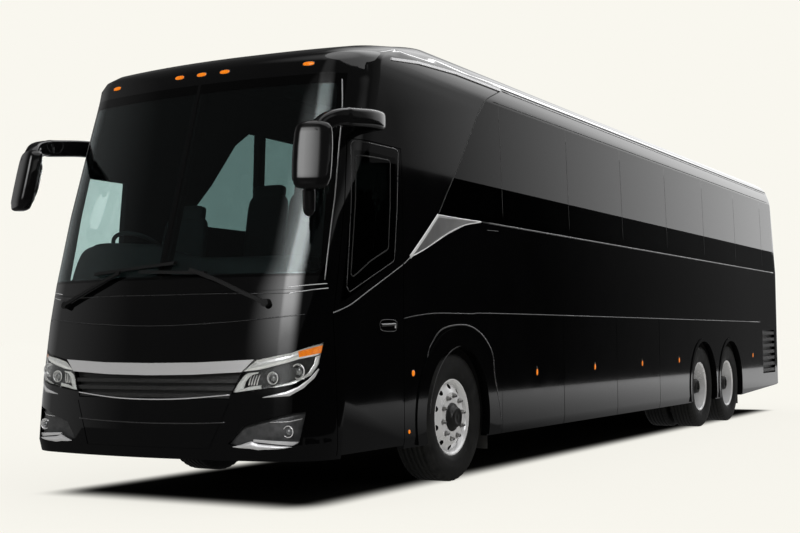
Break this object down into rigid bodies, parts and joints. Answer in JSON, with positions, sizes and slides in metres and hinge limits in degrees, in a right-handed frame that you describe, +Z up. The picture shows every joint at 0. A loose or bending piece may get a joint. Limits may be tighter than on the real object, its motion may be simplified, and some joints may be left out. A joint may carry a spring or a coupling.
{
  "type": "three-axle coach bus",
  "caption": "Gloss black three-axle coach bus with curved two-pane windscreen, dark side glazing, forward-hung mirrors, opening doors, steered front wheels and rolling wheels.",
  "frame": {"origin": "on the ground, under the middle of the overall box", "axes": "+X to the vehicle's left, -Y forwards, +Z up"},
  "size_m": [2.826, 13.1497, 3.4499],
  "materials": {
    "body_paint": "gloss black paint",
    "chassis_paint": "satin black paint",
    "axle_paint": "satin black paint",
    "cast_iron": "as cast",
    "clear_glass": "slightly green laminated glass",
    "tinted_glass": "dark tinted glass",
    "lamp_glass": "clear lamp lens",
    "amber_lens": "amber lens",
    "red_lens": "red lens",
    "black_plastic": "fine grain",
    "gloss_plastic": "gloss black",
    "dash_plastic": "grained",
    "bright_metal": "satin bright",
    "wheel_alloy": "polished forged aluminium",
    "tyre": "black rubber",
    "rubber": "matt",
    "seat_fabric": "woven upholstery"
  },
  "bodies": {
    "body": {"chassis_frame": "chassis_paint", "engine_block": "cast_iron", "front_axle": "axle_paint", "rear_axles": "axle_paint", "side_wall_left": "body_paint", "side_wall_right": "body_paint", "roof": "body_paint", "roof_front_cap": "body_paint", "front_mask": "body_paint", "front_bumper": "body_paint", "rear_wall": "body_paint", "windscreens": "clear_glass", "body_windows": "tinted_glass", "front_lamps": "lamp_glass", "marker_lamps": "amber_lens", "tail_lamps": "red_lens", "grilles": "black_plastic", "bright_trim": "bright_metal", "mirrors": "gloss_plastic", "wipers": "black_plastic", "mudflaps": "rubber", "dashboard": "dash_plastic", "seats": "seat_fabric"},
    "knuckle_left": {"knuckle_left": "axle_paint"},
    "front_wheel_left": {"front_tyre_left": "tyre", "front_rim_left": "wheel_alloy"},
    "drive_wheels_left": {"drive_tyres_left": "tyre", "drive_rims_left": "wheel_alloy"},
    "tag_wheel_left": {"tag_tyre_left": "tyre", "tag_rim_left": "wheel_alloy"},
    "luggage_door_left_1": {"luggage_door_left_1": "body_paint"},
    "luggage_door_left_2": {"luggage_door_left_2": "body_paint"},
    "luggage_door_left_3": {"luggage_door_left_3": "body_paint"},
    "luggage_door_left_4": {"luggage_door_left_4": "body_paint"},
    "knuckle_right": {"knuckle_right": "axle_paint"},
    "front_wheel_right": {"front_tyre_right": "tyre", "front_rim_right": "wheel_alloy"},
    "drive_wheels_right": {"drive_tyres_right": "tyre", "drive_rims_right": "wheel_alloy"},
    "tag_wheel_right": {"tag_tyre_right": "tyre", "tag_rim_right": "wheel_alloy"},
    "luggage_door_right_1": {"luggage_door_right_1": "body_paint"},
    "luggage_door_right_2": {"luggage_door_right_2": "body_paint"},
    "luggage_door_right_3": {"luggage_door_right_3": "body_paint"},
    "luggage_door_right_4": {"luggage_door_right_4": "body_paint"},
    "entrance_door": {"entrance_door": "body_paint", "entrance_door_glass": "tinted_glass"},
    "engine_door": {"engine_door": "body_paint"}
  },
  "joints": [
    {"name": "steer_left", "type": "hinge", "parent": "body", "child": "knuckle_left", "pos_m": [0.925, -4.36, 0.5], "axis": [0, 0, 1], "range_deg": [-40, 40]},
    {"name": "front_wheel_spin_left", "type": "hinge", "parent": "knuckle_left", "child": "front_wheel_left", "pos_m": [1.11, -4.36, 0.5], "axis": [1, 0, 0], "continuous": true},
    {"name": "drive_wheel_spin_left", "type": "hinge", "parent": "body", "child": "drive_wheels_left", "pos_m": [1.11, 2.47, 0.5], "axis": [1, 0, 0], "continuous": true},
    {"name": "tag_wheel_spin_left", "type": "hinge", "parent": "body", "child": "tag_wheel_left", "pos_m": [1.11, 3.74, 0.5], "axis": [1, 0, 0], "continuous": true},
    {"name": "luggage_door_left_1_hinge", "type": "hinge", "parent": "body", "child": "luggage_door_left_1", "pos_m": [1.29, -2.8475, 1.3197], "axis": [0, -1, 0], "range_deg": [0, 80]},
    {"name": "luggage_door_left_2_hinge", "type": "hinge", "parent": "body", "child": "luggage_door_left_2", "pos_m": [1.29, -1.427, 1.3197], "axis": [0, -1, 0], "range_deg": [0, 80]},
    {"name": "luggage_door_left_3_hinge", "type": "hinge", "parent": "body", "child": "luggage_door_left_3", "pos_m": [1.29, 0.0055, 1.3197], "axis": [0, -1, 0], "range_deg": [0, 80]},
    {"name": "luggage_door_left_4_hinge", "type": "hinge", "parent": "body", "child": "luggage_door_left_4", "pos_m": [1.29, 1.2735, 1.3197], "axis": [0, -1, 0], "range_deg": [0, 80]},
    {"name": "steer_right", "type": "hinge", "parent": "body", "child": "knuckle_right", "pos_m": [-0.925, -4.36, 0.5], "axis": [0, 0, 1], "range_deg": [-40, 40]},
    {"name": "front_wheel_spin_right", "type": "hinge", "parent": "knuckle_right", "child": "front_wheel_right", "pos_m": [-1.11, -4.36, 0.5], "axis": [1, 0, 0], "continuous": true},
    {"name": "drive_wheel_spin_right", "type": "hinge", "parent": "body", "child": "drive_wheels_right", "pos_m": [-1.11, 2.47, 0.5], "axis": [1, 0, 0], "continuous": true},
    {"name": "tag_wheel_spin_right", "type": "hinge", "parent": "body", "child": "tag_wheel_right", "pos_m": [-1.11, 3.74, 0.5], "axis": [1, 0, 0], "continuous": true},
    {"name": "luggage_door_right_1_hinge", "type": "hinge", "parent": "body", "child": "luggage_door_right_1", "pos_m": [-1.29, -2.8475, 1.3197], "axis": [0, 1, 0], "range_deg": [0, 80]},
    {"name": "luggage_door_right_2_hinge", "type": "hinge", "parent": "body", "child": "luggage_door_right_2", "pos_m": [-1.29, -1.427, 1.3197], "axis": [0, 1, 0], "range_deg": [0, 80]},
    {"name": "luggage_door_right_3_hinge", "type": "hinge", "parent": "body", "child": "luggage_door_right_3", "pos_m": [-1.29, 0.0055, 1.3197], "axis": [0, 1, 0], "range_deg": [0, 80]},
    {"name": "luggage_door_right_4_hinge", "type": "hinge", "parent": "body", "child": "luggage_door_right_4", "pos_m": [-1.29, 1.2735, 1.3197], "axis": [0, 1, 0], "range_deg": [0, 80]},
    {"name": "entrance_door_hinge", "type": "hinge", "parent": "body", "child": "entrance_door", "pos_m": [1.284, -6.14, 1.4], "axis": [0, 0, -1], "range_deg": [0, 85]},
    {"name": "engine_door_hinge", "type": "hinge", "parent": "body", "child": "engine_door", "pos_m": [0, 6.575, 1.5003], "axis": [1, 0, 0], "range_deg": [0, 75]}
  ],
  "couplings": [
    {"joint": "steer_right", "follows": "steer_left", "ratio": 1}
  ]
}
